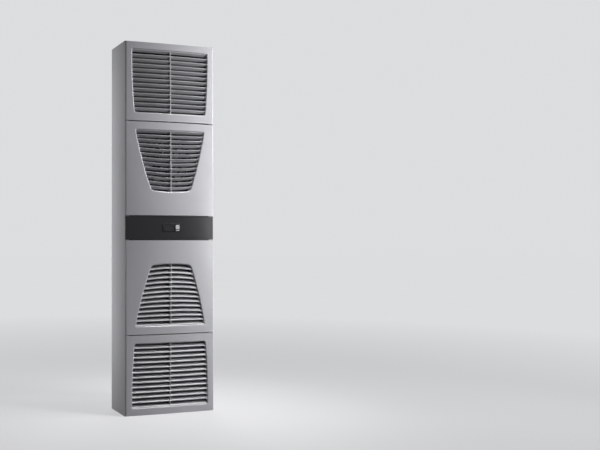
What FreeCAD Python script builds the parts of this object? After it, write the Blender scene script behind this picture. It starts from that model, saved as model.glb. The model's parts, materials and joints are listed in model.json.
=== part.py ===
import FreeCAD, Part
import math
import os

import Sketcher

# Wall-mounted cooling unit for electrical enclosures.
# Frame: +Z up, front towards -Y, origin in the middle of the foot, millimetres.

V = FreeCAD.Vector
doc = FreeCAD.newDocument("cooling_unit")
sheet = doc.addObject("Spreadsheet::Sheet", "Sizes")

DRIVING = [
    ("width", 405, "overall width"),
    ("height", 1580, "overall height"),
    ("depth", 205, "overall depth, gasket included"),
    ("sheet_wall", 1.5, "sheet steel"),
    ("fit_gap", 0.2, "gap round nested sheet pieces"),
    ("flange_width", 18, "front return of a side sheet"),
    ("gasket_depth", 3, "rear sealing strip"),
    ("cover_depth", 24, "front covers, seam to foremost line"),
    ("cover_wall", 2.5, "moulded wall of the covers"),
    ("seam_gap", 0.6, "covers to side sheets"),
    ("cover_gap", 4, "shadow gap between two covers"),
    ("foot_gap", 2, "end covers to the floor and to the top"),
    ("end_height", 338.5, "end of the unit to the middle of the first shadow gap"),
    ("end_bow", 4, "bow of the front at the ends"),
    ("joint_bow", 9, "bow of the front at the first shadow gap"),
    ("mid_bow", 16, "bow of the front at the control band"),
    ("front_corner", 6, "corner radius beside the front"),
    ("band_height", 102, "control band with its two shadow gaps"),
    ("band_recess", 2, "control band behind the covers"),
    ("end_margin", 33, "end of the unit to the end louvre"),
    ("end_louvre_height", 268, "end louvre opening"),
    ("end_far_margin", 31, "side of the unit to the end louvre, outer end"),
    ("end_near_margin", 42, "side of the unit to the end louvre, inner end"),
    ("end_belly", 3.5, "outward bulge of the end louvre sides"),
    ("waist_margin", 37, "first shadow gap to the tapered louvre"),
    ("waist_louvre_height", 260.5, "tapered louvre opening"),
    ("waist_far_margin", 46.5, "side of the unit to the tapered louvre, wide end"),
    ("waist_near_margin", 114.5, "side of the unit to the tapered louvre, narrow end"),
    ("waist_belly", 6, "outward bulge of the tapered louvre sides"),
    ("waist_crown", 6, "arch of the narrow end"),
    ("louvre_round_far", 3, "louvre corner radius, outer end"),
    ("louvre_round_end", 8, "end louvre corner radius, inner end"),
    ("louvre_round_waist", 19, "tapered louvre corner radius, narrow end"),
    ("louvre_lip", 5, "rounded rim of a louvre opening"),
    ("slat_count", 13, "slats in one louvre"),
    ("slat_nose", 2.5, "upright front edge of a slat"),
    ("slat_rise", 8.5, "height of a slat face behind its front edge"),
    ("slat_reach", 10, "depth of a slat face"),
    ("slat_wall", 2, "slat thickness"),
    ("slat_set_back", 2.5, "slats behind the front"),
    ("ring_wall", 4, "wall round a louvre"),
    ("ring_depth", 28, "depth of that wall from the foremost line"),
    ("rib_width", 4, "upright rib behind the slats"),
    ("rib_set_back", 4, "upright rib behind the front"),
    ("mat_depth", 8, "filter mat"),
    ("peg_radius", 3, "cover peg"),
    ("peg_inset", 10, "cover peg from the outer side"),
    ("peg_margin", 28, "cover peg from the end of its cover"),
    ("peg_reach", 8, "cover peg behind the front returns"),
    ("rail_height", 30, "cross rail"),
    ("rail_depth", 12, "cross rail"),
    ("base_height", 24, "skirt of the base pan"),
    ("top_height", 18, "skirt of the top panel"),
    ("coil_half", 150, "half length of a coil's fin pack"),
    ("coil_depth", 36, "fin pack along the air"),
    ("fin_pitch", 6, "fin spacing"),
    ("fin_wall", 0.8, "fin thickness"),
    ("coil_tube", 5, "coil tube radius"),
    ("condenser_height", 556, "condenser fin pack"),
    ("evaporator_height", 300, "evaporator fin pack"),
    ("duct_depth", 78, "rear air duct, insulation included"),
    ("insulation_depth", 8, "foam on the partition"),
    ("fan_radius", 104, "condenser fan, blade tips"),
    ("fan_clear", 4, "blade tips to the fan ring"),
    ("fan_set_back", 13, "fan plate behind the cross rails"),
    ("blower_radius", 88, "evaporator fan impeller"),
    ("intake_radius", 74, "rear air inlet"),
    ("intake_drop", 180, "rear air inlet below the top"),
    ("outlet_bottom", 430, "rear air outlet above the foot"),
    ("outlet_height", 210, "rear air outlet"),
    ("outlet_half", 150, "rear air outlet half width"),
    ("compressor_height", 190, "compressor shell"),
    ("compressor_clear", 12, "compressor to coil and to back plate"),
    ("compressor_offset", 80, "compressor left of the middle"),
    ("bolt_core", 3.4, "threaded insert, core radius"),
    ("bolt_inset", 9, "threaded insert from the outer side"),
    ("bolt_margin", 60, "threaded insert from top and foot"),
    ("spigot_radius", 6, "drain spigot"),
    ("spigot_length", 14, "hose end of the drain spigot"),
    ("spigot_neck", 4, "drain spigot between pan and hose end"),
    ("bezel_width", 86, "controller bezel"),
    ("bezel_height", 34, "controller bezel"),
    ("key_travel", 0.8, "stroke of a key"),
]

for row, (alias, number, note) in enumerate(DRIVING, 1):
    sheet.set(f"A{row}", note)
    sheet.set(f"B{row}", str(number))
    sheet.setAlias(f"B{row}", alias)
doc.recompute()


class Size:
    """A length that holds its number and the sheet expression that gives it."""

    def __init__(self, text, number):
        self.text = text
        self.number = number

    def join(self, sign, other, swapped=False):
        other = other if isinstance(other, Size) else Size(repr(float(other)), float(other))
        left, right = (other, self) if swapped else (self, other)
        number = {
            "+": left.number + right.number,
            "-": left.number - right.number,
            "*": left.number * right.number,
            "/": left.number / right.number if right.number else 0.0,
        }[sign]
        return Size(f"({left.text} {sign} {right.text})", number)

    def __add__(self, other):
        return self.join("+", other)

    def __radd__(self, other):
        return self.join("+", other, True)

    def __sub__(self, other):
        return self.join("-", other)

    def __rsub__(self, other):
        return self.join("-", other, True)

    def __mul__(self, other):
        return self.join("*", other)

    def __rmul__(self, other):
        return self.join("*", other, True)

    def __truediv__(self, other):
        return self.join("/", other)

    def __neg__(self):
        return self * -1

    def __float__(self):
        return float(self.number)


class Sizes:
    """The driving sizes by name."""


S = Sizes()
for alias, number, note in DRIVING:
    setattr(S, alias, Size(f"Sizes.{alias}", float(sheet.get(alias))))

ZERO = S.width * 0

# Places of the coils between their neighbours
coil_gap = 2
condenser_lift = 16
evaporator_drop = 30

# Planes that several pieces share
half = S.width / 2
mid = S.height / 2
front = -S.depth / 2
seam = front + S.cover_depth
cover_back = seam - S.seam_gap
rear = S.depth / 2 - S.gasket_depth
plate_front = rear - S.sheet_wall
inner_half = half - S.sheet_wall - S.fit_gap
box_front = seam + S.sheet_wall + S.fit_gap
box_back = plate_front - S.fit_gap
rail_front = seam + S.sheet_wall
rail_back = rail_front + S.rail_depth
band_edge = mid - S.band_height / 2
coil_front = rail_back + coil_gap
coil_back = coil_front + S.coil_depth
fan_front = rail_back + S.fan_set_back
partition_front = plate_front - S.duct_depth
partition_back = partition_front + S.sheet_wall
foam_back = partition_back + S.insulation_depth
evaporator_low = mid - evaporator_drop
evaporator_high = evaporator_low + S.evaporator_height
evaporator_mid = (foam_back + plate_front) / 2
condenser_mid = (coil_front + coil_back) / 2
condenser_low = S.base_height + condenser_lift
condenser_high = condenser_low + S.condenser_height
waist_far = S.end_height + S.waist_margin
waist_near = waist_far + S.waist_louvre_height
fan_level = S.height - (waist_far + waist_near) / 2
intake_level = S.height - S.intake_drop
peg_x = half - S.peg_inset
bolt_x = half - S.bolt_inset

PARTS = []


def keep(piece, label):
    """Names a finished piece for its file."""
    piece.Label = label
    PARTS.append(piece)
    return piece


def bind(piece, path, size):
    """Ties one property of a piece to the sheet."""
    piece.setExpression(path, (ZERO + size).text)


def place(piece, x, y, z):
    for axis, size in zip("xyz", (x, y, z)):
        bind(piece, f"Placement.Base.{axis}", size)


def box(x, y, z):
    """A box between two planes along each axis."""
    piece = doc.addObject("Part::Box", "block")
    for path, (low, high) in zip(("Length", "Width", "Height"), (x, y, z)):
        bind(piece, path, high - low)
    place(piece, x[0], y[0], z[0])
    return piece


TURNS = {
    "Y": FreeCAD.Rotation(V(1, 0, 0), -90),
    "Z": FreeCAD.Rotation(),
}


def rod(axis, x, y, z, radius, length):
    """A round bar that starts at a point and runs along an axis."""
    piece = doc.addObject("Part::Cylinder", "rod")
    piece.Placement = FreeCAD.Placement(V(), TURNS[axis])
    bind(piece, "Radius", radius)
    bind(piece, "Height", length)
    place(piece, x, y, z)
    return piece


def fuse(*pieces):
    joined = doc.addObject("Part::MultiFuse", "joined")
    joined.Shapes = list(pieces)
    joined.Refine = True
    return joined


def cut(base, *tools):
    piece = doc.addObject("Part::Cut", "cut")
    piece.Base = base
    piece.Tool = tools[0] if len(tools) == 1 else fuse(*tools)
    return piece


def group(*pieces):
    """Several equal solids kept as one piece."""
    piece = doc.addObject("Part::Compound", "set")
    piece.Links = list(pieces)
    return piece


def hoop(axis, x, y, z, outer, inner, length):
    """A flat ring."""
    return cut(rod(axis, x, y, z, outer, length), rod(axis, x, y, z, inner, length))


def mirror(source, normal, level=ZERO):
    """The same piece on the other side of a plane."""
    piece = doc.addObject("Part::Mirroring", "mirrored")
    piece.Source = source
    piece.Normal = normal
    if normal.z:
        piece.setExpression("Base.z", level.text)
    return piece


def shaped(shape, label):
    """A piece whose shape is worked out here from the sheet's sizes."""
    piece = doc.addObject("Part::Feature", label)
    piece.Shape = shape
    return keep(piece, label)


# Sketch-based bodies

def new_body(label):
    body = doc.addObject("PartDesign::Body", label)
    return keep(body, label)


def sketch_on(body, plane, offset=None):
    """A sketch on one of the body's own planes, moved along that plane's normal."""
    sketch = body.newObject("Sketcher::SketchObject", "outline")
    support = [feature for feature in body.Origin.OriginFeatures if feature.Role == plane]
    sketch.AttachmentSupport = [(support[0], "")]
    sketch.MapMode = "FlatFace"
    if offset is not None:
        bind(sketch, "AttachmentOffset.Base.z", offset)
    return sketch


def pin_point(sketch, index, position, u, v):
    """Holds one sketch point at a place taken from the sheet."""
    for kind, size in (("DistanceX", u), ("DistanceY", v)):
        rule = Sketcher.Constraint(kind, -1, 1, index, position, float(size))
        number = sketch.addConstraint(rule)
        bind(sketch, f"Constraints[{number}]", size)


def draw_polygon(sketch, points):
    first = sketch.GeometryCount
    count = len(points)
    corners = [V(float(u), float(v), 0) for u, v in points]
    for i in range(count):
        sketch.addGeometry(Part.LineSegment(corners[i], corners[(i + 1) % count]), False)
    for i in range(count):
        follower = first + (i + 1) % count
        sketch.addConstraint(Sketcher.Constraint("Coincident", first + i, 2, follower, 1))
    for i, (u, v) in enumerate(points):
        pin_point(sketch, first + i, 1, u, v)


def draw_rectangle(sketch, u, v):
    draw_polygon(sketch, [(u[0], v[0]), (u[1], v[0]), (u[1], v[1]), (u[0], v[1])])


def draw_circle(sketch, u, v, radius):
    centre = V(float(u), float(v), 0)
    index = sketch.addGeometry(Part.Circle(centre, V(0, 0, 1), float(radius)), False)
    pin_point(sketch, index, 3, u, v)
    number = sketch.addConstraint(Sketcher.Constraint("Radius", index, float(radius)))
    bind(sketch, f"Constraints[{number}]", radius)


def extrude(body, kind, sketch, length, reverse=False):
    """Pads or pockets a sketch."""
    feature = body.newObject(f"PartDesign::{kind}", kind.lower())
    feature.Profile = sketch
    feature.Reversed = reverse
    bind(feature, "Length", length)
    sketch.Visibility = False
    return feature


def round_edges(body, feature, radius, wanted):
    """Fillets the edges of a feature that pass a test."""
    doc.recompute()
    names = []
    for i, edge in enumerate(feature.Shape.Edges, 1):
        if wanted(edge):
            names.append(f"Edge{i}")
    fillet = body.newObject("PartDesign::Fillet", "rounding")
    fillet.Base = (feature, names)
    bind(fillet, "Radius", radius)
    return fillet


def runs_along_y(edge):
    return abs(edge.tangentAt(edge.FirstParameter).y) > 0.999


def spin(body, sketch, axis_role):
    """Turns a sketch right round one of the body's own axes."""
    feature = body.newObject("PartDesign::Revolution", "turned")
    feature.Profile = sketch
    axis = [item for item in body.Origin.OriginFeatures if item.Role == axis_role]
    feature.ReferenceAxis = (axis[0], [""])
    feature.Angle = 360
    return feature


# Sheet-metal box

peg_hole_gap = 0.5
screw_radius = 2
screw_offset = 9
screw_inset = 14
PEG_LEVELS = [
    S.foot_gap + S.peg_margin,
    S.end_height - S.cover_gap / 2 - S.peg_margin,
    S.end_height + S.cover_gap / 2 + S.peg_margin,
    band_edge - S.cover_gap / 2 - S.peg_margin,
]
PEG_LEVELS += [mid] + [S.height - level for level in PEG_LEVELS]
RAIL_LEVELS = [S.end_height, band_edge, S.height - band_edge, S.height - S.end_height]
SCREW_LEVELS = [S.end_height - screw_offset, band_edge - screw_offset]
SCREW_LEVELS += [S.height - level for level in SCREW_LEVELS]
screw_x = half - screw_inset

left_side = new_body("left_side")
profile = sketch_on(left_side, "XY_Plane")
draw_polygon(profile, [
    (-half, seam),
    (-half, rear),
    (S.sheet_wall - half, rear),
    (S.sheet_wall - half, rail_front),
    (S.flange_width - half, rail_front),
    (S.flange_width - half, seam),
])
extrude(left_side, "Pad", profile, S.height)
holes = sketch_on(left_side, "XZ_Plane", -seam)
for level in PEG_LEVELS:
    draw_circle(holes, -peg_x, level, S.peg_radius + peg_hole_gap)
for level in SCREW_LEVELS:
    draw_circle(holes, -screw_x, level, screw_radius)
extrude(left_side, "Pocket", holes, S.sheet_wall)
keep(mirror(left_side, V(1, 0, 0)), "right_side")


def pan(label, low, high):
    """A sheet pan with four skirts below its floor."""
    body = new_body(label)
    outline = sketch_on(body, "XY_Plane", low)
    draw_rectangle(outline, (-inner_half, inner_half), (box_front, box_back))
    extrude(body, "Pad", outline, high - low)
    inside_x = (S.sheet_wall - inner_half, inner_half - S.sheet_wall)
    inside_y = (box_front + S.sheet_wall, box_back - S.sheet_wall)
    hollow = sketch_on(body, "XY_Plane", high - S.sheet_wall)
    draw_rectangle(hollow, inside_x, inside_y)
    extrude(body, "Pocket", hollow, high - low - S.sheet_wall)
    return body


pan("top_panel", S.height - S.top_height, S.height)
base_pan = pan("base_pan", ZERO, S.base_height)
drain_inset = 42.5
drain_x = drain_inset - half
drain_y = evaporator_mid
drain_hole = sketch_on(base_pan, "XY_Plane", S.base_height)
draw_circle(drain_hole, drain_x, drain_y, S.spigot_radius + S.fit_gap)
extrude(base_pan, "Pocket", drain_hole, S.sheet_wall)

BOLT_LEVELS = [S.bolt_margin, mid, S.height - S.bolt_margin]
insert_wall = 2.1
insert_depth = 12
insert_radius = S.bolt_core + insert_wall
plug_inset = 82.5
plug_x = half - plug_inset
plug_level = 246
plug_half_width = 25
plug_half_height = 11
plate_trim = 0.5
fold_gap = 6
fold_depth = 15
back_plate = new_body("back_plate")
outline = sketch_on(back_plate, "XZ_Plane", -rear)
draw_rectangle(outline, (-inner_half, inner_half), (ZERO + plate_trim, S.height - plate_trim))
extrude(back_plate, "Pad", outline, S.sheet_wall)
for side in (-1, 1):
    fold = sketch_on(back_plate, "XZ_Plane", -plate_front)
    edges = (side * inner_half, side * (inner_half - S.sheet_wall))
    draw_rectangle(fold, edges, (S.base_height + fold_gap, S.height - S.top_height - fold_gap))
    extrude(back_plate, "Pad", fold, fold_depth)
vents = sketch_on(back_plate, "XZ_Plane", -plate_front)
draw_circle(vents, 0, intake_level, S.intake_radius)
outlet_top = S.outlet_bottom + S.outlet_height
draw_rectangle(vents, (-S.outlet_half, S.outlet_half), (S.outlet_bottom, outlet_top))
draw_rectangle(
    vents,
    (plug_x - plug_half_width, plug_x + plug_half_width),
    (plug_level - plug_half_height, plug_level + plug_half_height),
)
for level in BOLT_LEVELS:
    for side in (-1, 1):
        draw_circle(vents, side * bolt_x, level, insert_radius)
extrude(back_plate, "Pocket", vents, S.sheet_wall)

gasket_inset = 16.5
gasket_margin = 14
gasket_width = 12
gasket_half = half - gasket_inset
gasket = new_body("rear_gasket")
outline = sketch_on(gasket, "XZ_Plane", -rear)
for step in (0, gasket_width):
    low = gasket_margin + step
    draw_rectangle(outline, (step - gasket_half, gasket_half - step), (ZERO + low, S.height - low))
extrude(gasket, "Pad", outline, S.gasket_depth, True)

insert_collar = 1
insert_front = plate_front - insert_depth
insert_length = insert_depth + S.sheet_wall
inserts = []
for level in BOLT_LEVELS:
    for side in (-1, 1):
        x = side * bolt_x
        sleeve = rod("Y", x, insert_front, level, insert_radius, insert_length)
        collar = rod("Y", x, rear, level, insert_radius + insert_collar, insert_collar)
        bore = rod("Y", x, insert_front, level, S.bolt_core, insert_length + insert_collar)
        inserts.append(cut(fuse(sleeve, collar), bore))
keep(group(*inserts), "mount_inserts")

rail_trim = 2
rails = []
rail_half = inner_half - rail_trim
for level in RAIL_LEVELS:
    low = level - S.rail_height / 2
    high = level + S.rail_height / 2
    block = box((-rail_half, rail_half), (rail_front, rail_back), (low, high))
    hollow = box(
        (-rail_half, rail_half),
        (rail_front + S.sheet_wall, rail_back),
        (low + S.sheet_wall, high - S.sheet_wall),
    )
    towards_end = -1 if float(level) < float(mid) else 1
    screw_level = level + towards_end * screw_offset
    holes = []
    for side in (-1, 1):
        holes.append(rod("Y", side * screw_x, rail_front, screw_level, screw_radius, S.sheet_wall))
    rails.append(cut(block, hollow, *holes))
keep(group(*rails), "cross_rails")

head_radius = 3.8
head_height = 2.2
shank_length = 8
screws = []
for level in SCREW_LEVELS:
    for side in (-1, 1):
        x = side * screw_x
        head = rod("Y", x, seam - head_height, level, head_radius, head_height)
        shank = rod("Y", x, seam, level, screw_radius, shank_length)
        screws.append(fuse(head, shank))
keep(group(*screws), "rail_screws")

socket_radius = 6
socket_depth = 6
socket_bore = S.peg_radius + 0.1
sockets = []
for level in PEG_LEVELS:
    for side in (-1, 1):
        x = side * peg_x
        sockets.append(hoop("Y", x, rail_front, level, socket_radius, socket_bore, socket_depth))
keep(group(*sockets), "cover_sockets")

# Front form: straight side edges, nearly flat at the ends and bowed most at the band

least_corner = 0.6
FORM = [
    (ZERO, S.end_bow),
    (S.end_height, S.joint_bow),
    (band_edge, S.mid_bow),
]


def bow_at(level):
    """Bow of the front at a height below the middle."""
    for (low, bow_low), (high, bow_high) in zip(FORM, FORM[1:]):
        share = (level - float(low)) / (float(high) - float(low))
        if share <= 1:
            break
    share = min(max(share, 0.0), 1.0)
    return float(bow_low) + share * (float(bow_high) - float(bow_low))


def apex_at(level):
    """Depth of the front's middle line at a height below the middle."""
    return float(front + S.mid_bow) - bow_at(level)


def front_section(level, reach, apex, bow, corner, back):
    """Closed outline of the front at one height."""
    start = reach - corner
    edge = apex + bow
    shoulder = edge + corner
    slant = corner * math.sqrt(0.5)

    def at(x, y):
        return V(x, y, level)

    edges = [
        Part.LineSegment(at(reach, back), at(-reach, back)),
        Part.LineSegment(at(-reach, back), at(-reach, shoulder)),
        Part.Arc(at(-reach, shoulder), at(-start - slant, shoulder - slant), at(-start, edge)),
        Part.Arc(at(-start, edge), at(0, apex), at(start, edge)),
        Part.Arc(at(start, edge), at(start + slant, shoulder - slant), at(reach, shoulder)),
        Part.LineSegment(at(reach, shoulder), at(reach, back)),
    ]
    return Part.Wire([edge.toShape() for edge in edges])


def front_block(low, high, inset, back):
    """Solid between two heights that follows the front form, set in by a wall."""
    wires = []
    corner = max(float(S.front_corner) - inset, least_corner)
    reach = float(half) - inset
    for level in (low, high):
        apex = apex_at(level) + inset
        wires.append(front_section(level, reach, apex, bow_at(level), corner, back))
    return Part.makeLoft(wires, True, True)


def surface_set_back(x, level):
    """How far the front lies behind its own middle line at one point."""
    bow = bow_at(level)
    start = float(half - S.front_corner)
    radius = (start * start + bow * bow) / (2 * bow)
    return radius - math.sqrt(radius * radius - x * x)


def round_corners(solid, radius, wanted):
    """Rounds the edges along Y whose middle passes a test."""
    edges = [edge for edge in solid.Edges if runs_along_y(edge) and wanted(edge.CenterOfMass)]
    return solid.makeFillet(radius, edges)


class Louvre:
    """The opening of one louvre in a lower cover; its far end is the one away from the band."""

    edge_margin = 1
    slat_bite = 2

    def __init__(self, far, near, far_half, near_half, belly, crown, round_near, arch):
        self.far = float(far)
        self.near = float(near)
        self.far_half = float(far_half)
        self.near_half = float(near_half)
        self.belly = float(belly)
        self.crown = float(crown)
        self.round_near = float(round_near)
        self.arch = arch

    def half_at(self, level):
        """Half width of the opening at a height."""
        share = (level - self.far) / (self.near - self.far)
        chord = self.far_half + share * (self.near_half - self.far_half)
        return chord + 4 * self.belly * share * (1 - share)

    def prism(self, grow, y_from, y_to):
        """The opening, grown by a margin, between two depths."""
        low = self.far - grow
        high = self.near + grow
        shoulder = high - self.crown
        wide = self.far_half + grow
        narrow = self.near_half + grow
        middle = (low + shoulder) / 2
        bulge = (wide + narrow) / 2 + self.belly

        def at(x, z):
            return V(x, y_from, z)

        edges = [
            Part.LineSegment(at(-wide, low), at(wide, low)),
            Part.Arc(at(wide, low), at(bulge, middle), at(narrow, shoulder)),
            Part.Arc(at(-narrow, shoulder), at(-bulge, middle), at(-wide, low)),
        ]
        if self.crown:
            edges.insert(2, Part.Arc(at(narrow, shoulder), at(0, high), at(-narrow, shoulder)))
        else:
            edges.insert(2, Part.LineSegment(at(narrow, shoulder), at(-narrow, shoulder)))
        wire = Part.Wire([edge.toShape() for edge in edges])
        solid = Part.Face(wire).extrude(V(0, y_to - y_from, 0))
        far_radius = float(S.louvre_round_far) + grow
        near_radius = self.round_near + grow
        solid = round_corners(solid, far_radius, lambda point: point.z < middle)
        return round_corners(solid, near_radius, lambda point: point.z > middle)

    def soften(self, solid):
        """Rounds the rim where the opening meets the front."""
        rim = []
        low = self.far - self.edge_margin
        high = self.near + self.edge_margin
        for edge in solid.Edges:
            point = edge.CenterOfMass
            at_front = point.y < float(seam) and not runs_along_y(edge)
            beside = abs(point.x) < self.far_half + self.edge_margin
            if at_front and beside and low < point.z < high:
                rim.append(edge)
        return solid.makeFillet(float(S.louvre_lip), rim)

    def slat(self, index):
        """One slat; its section turns about a tilted axis so that it follows bow and arch."""
        nose = float(S.slat_nose)
        pitch = (self.near - self.far + self.edge_margin) / float(S.slat_count)
        level = self.far + nose + index * pitch
        reach = self.half_at(level)
        sink = surface_set_back(reach, level)
        sag = self.arch * (level - self.far) * reach * reach / 2
        drop = math.hypot(sink, sag)
        y = apex_at(level) + float(S.slat_set_back)
        rise = float(S.slat_rise)
        run = float(S.slat_reach)
        wall = float(S.slat_wall)
        scale = wall / math.hypot(rise, run)
        behind = V(0, rise * scale, -run * scale)
        chin = V(0, y, level - nose)
        low = V(0, y, level)
        high = V(0, y + run, level + rise)
        heel = V(0, y + wall, level - nose)
        face = Part.Face(Part.makePolygon([chin, low, high, high + behind, heel, chin]))
        lean = V(0, sink / drop, -sag / drop)
        radius = (reach * reach + drop * drop) / (2 * drop)
        centre = low + lean * radius
        axis = V(1, 0, 0).cross(lean)
        turn = math.degrees(math.asin((reach + float(S.ring_wall)) / radius))
        face.rotate(centre, axis, -turn)
        return face.revolve(centre, axis, 2 * turn)


waist_arch = 1 / 160000
end_louvre = Louvre(
    S.end_margin, S.end_margin + S.end_louvre_height, half - S.end_far_margin, half - S.end_near_margin,
    S.end_belly, 0, S.louvre_round_end, 0,
)
waist_louvre = Louvre(
    waist_far, waist_near, half - S.waist_far_margin, half - S.waist_near_margin,
    S.waist_belly, S.waist_crown, S.louvre_round_waist, waist_arch,
)


clear_ahead = float(front) - 5


def pegs_at(levels, outer, back):
    """Pegs behind a cover, from its front wall to the sockets."""
    radius = float(S.peg_radius)
    tip = float(rail_front + S.peg_reach)
    pegs = []
    for level in levels:
        for side in (-1, 1):
            foot = V(side * float(peg_x), clear_ahead, float(level))
            inside = Part.makeCylinder(radius, back - clear_ahead, foot, V(0, 1, 0))
            pegs.append(inside.common(outer))
            foot.y = back
            pegs.append(Part.makeCylinder(radius, tip - back, foot, V(0, 1, 0)))
    return pegs


def louvred_cover(low, high, louvre, peg_levels):
    """A moulded cover with its louvre, rib and pegs in one piece."""
    wall = float(S.cover_wall)
    back = float(cover_back)
    ring_back = float(front + S.ring_depth)
    outer = front_block(low, high, 0, ring_back)
    opening = louvre.prism(0, clear_ahead, ring_back)
    block = louvre.soften(outer.cut(opening))
    ring = louvre.prism(float(S.ring_wall), clear_ahead, ring_back).common(block)
    inner = front_block(low + wall, high - wall, wall, ring_back)
    behind = Part.makeBox(
        float(S.width), ring_back - back, high - low, V(-float(half), back, low))
    shell = block.cut(inner).cut(behind).fuse(ring)
    rib_half = float(S.rib_width) / 2
    rib_corners = [V(-rib_half, ring_back, louvre.near), V(-rib_half, ring_back, louvre.far)]
    for level in (louvre.far, louvre.near):
        rib_corners.append(V(-rib_half, apex_at(level) + float(S.rib_set_back), level))
    rib_side = Part.Face(Part.makePolygon(rib_corners + rib_corners[:1]))
    rib = rib_side.extrude(V(2 * rib_half, 0, 0))
    bounds = louvre.prism(louvre.slat_bite, clear_ahead, ring_back)
    slats = [louvre.slat(i).common(bounds) for i in range(int(float(S.slat_count)))]
    grid = rib.fuse(slats)
    pegs = pegs_at(peg_levels, outer, back)
    return shell.fuse([grid] + pegs)


first_gap_low = float(S.end_height - S.cover_gap / 2)
first_gap_high = float(S.end_height + S.cover_gap / 2)
band_gap_low = float(band_edge - S.cover_gap / 2)
bottom_cover = shaped(
    louvred_cover(float(S.foot_gap), first_gap_low, end_louvre, PEG_LEVELS[0:2]), "bottom_cover")
lower_cover = shaped(
    louvred_cover(first_gap_high, band_gap_low, waist_louvre, PEG_LEVELS[2:4]), "lower_cover")
keep(mirror(bottom_cover, V(0, 0, 1), mid), "top_cover")
keep(mirror(lower_cover, V(0, 0, 1), mid), "upper_cover")

# Control band with its controller

bezel_proud = 0.8
bezel_gap = 0.3
bezel_half = S.bezel_width / 2
bezel_low = mid - S.bezel_height / 2
bezel_high = mid + S.bezel_height / 2
bezel_front = front + S.band_recess - bezel_proud
bezel_back = rail_front + 5


def band_shell():
    """The band: a shallow bowed tray with a window for the controller."""
    low = float(band_edge + S.cover_gap / 2)
    high = float(S.height - band_edge - S.cover_gap / 2)
    wall = float(S.cover_wall)
    apex = float(front + S.band_recess)
    back = float(cover_back)
    bow = float(S.mid_bow - S.band_recess)

    def block(bottom, top, inset):
        corner = max(float(S.front_corner) - inset, least_corner)
        reach = float(half) - inset
        wires = [
            front_section(level, reach, apex + inset, bow, corner, back) for level in (bottom, top)]
        return Part.makeLoft(wires, True, True)

    outer = block(low, high, 0)
    shell = outer.cut(block(low + wall, high - wall, wall))
    window = Part.makeBox(
        float(S.bezel_width) + 2 * bezel_gap, back - clear_ahead, float(S.bezel_height) + 2 * bezel_gap,
        V(-float(bezel_half) - bezel_gap, clear_ahead, float(bezel_low) - bezel_gap),
    )
    return shell.cut(window).fuse(pegs_at([mid], outer, back)).removeSplitter()


shaped(band_shell(), "control_band")

window_inset = 10
window_width = 42
window_margin = 6
window_depth = 2
lens_gap = 0.1
lens_wall = 1.6
window_x = (window_inset - bezel_half, window_inset + window_width - bezel_half)
window_z = (bezel_low + window_margin, bezel_high - window_margin)
key_x = bezel_half - 16
KEY_SIZES = {
    "large_key": (mid + 4, 17, 17, 4),
    "bar_key": (mid - 10.5, 17, 4.5, 2),
}
key_gap = 0.3
key_seat = 6
key_proud = 1
key_room = 1.2
key_edge = 0.6
bezel_corner = 3
lamp_x = 6 - bezel_half
lamp_level = mid + 10
lamp_radius = 1.5
lamp_gap = 0.1
lamp_depth = 6
lamp_sunk = 0.2


def edges_at(y):
    """A test for edges that lie in one plane across Y."""
    return lambda edge: abs(edge.CenterOfMass.y - float(y)) < 1e-3


bezel = new_body("controller_bezel")
outline = sketch_on(bezel, "XZ_Plane", -bezel_back)
draw_rectangle(outline, (-bezel_half, bezel_half), (bezel_low, bezel_high))
block = extrude(bezel, "Pad", outline, bezel_back - bezel_front)
rim = round_edges(bezel, block, bezel_corner, runs_along_y)
round_edges(bezel, rim, bezel_proud, edges_at(bezel_front))
recess = sketch_on(bezel, "XZ_Plane", -bezel_front)
draw_rectangle(recess, window_x, window_z)
extrude(bezel, "Pocket", recess, window_depth)
wells = sketch_on(bezel, "XZ_Plane", -bezel_front)
for level, wide, tall, corner in KEY_SIZES.values():
    reach = wide / 2 + key_gap
    rise = tall / 2 + key_gap
    draw_rectangle(wells, (key_x - reach, key_x + reach), (level - rise, level + rise))
extrude(bezel, "Pocket", wells, key_seat + S.key_travel + key_room)
lamp_hole = sketch_on(bezel, "XZ_Plane", -bezel_front)
draw_circle(lamp_hole, lamp_x, lamp_level, lamp_radius + lamp_gap)
extrude(bezel, "Pocket", lamp_hole, lamp_depth)

lens = new_body("display_window")
outline = sketch_on(lens, "XZ_Plane", -(bezel_front + window_depth))
draw_rectangle(
    outline,
    (window_x[0] + lens_gap, window_x[1] - lens_gap),
    (window_z[0] + lens_gap, window_z[1] - lens_gap),
)
extrude(lens, "Pad", outline, lens_wall)

lamp_front = bezel_front + lamp_sunk
keep(rod("Y", lamp_x, lamp_front, lamp_level, lamp_radius, lamp_depth - lamp_sunk), "status_lamp")

for label, (level, wide, tall, corner) in KEY_SIZES.items():
    key = new_body(label)
    outline = sketch_on(key, "XZ_Plane", -(bezel_front + key_seat))
    draw_rectangle(
        outline, (key_x - wide / 2, key_x + wide / 2), (level - tall / 2, level + tall / 2))
    block = extrude(key, "Pad", outline, key_seat + key_proud)
    rim = round_edges(key, block, corner, runs_along_y)
    round_edges(key, rim, key_edge, edges_at(bezel_front - key_proud))

box_half = 80
box_depth = 52
box_low = band_edge + S.rail_height / 2
box_high = S.height - box_low
keep(
    box((ZERO - box_half, ZERO + box_half), (bezel_back, bezel_back + box_depth), (box_low, box_high)),
    "controller_box",
)

# Filter mats held in the two intake covers

mat_front = front + S.ring_depth
mat_lap_x = 6
mat_lap_z = 5


def filter_mat(label, reach, low, high):
    body = new_body(label)
    outline = sketch_on(body, "XZ_Plane", -mat_front)
    draw_rectangle(outline, (-reach, reach), (low, high))
    extrude(body, "Pad", outline, S.mat_depth, True)


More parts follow.
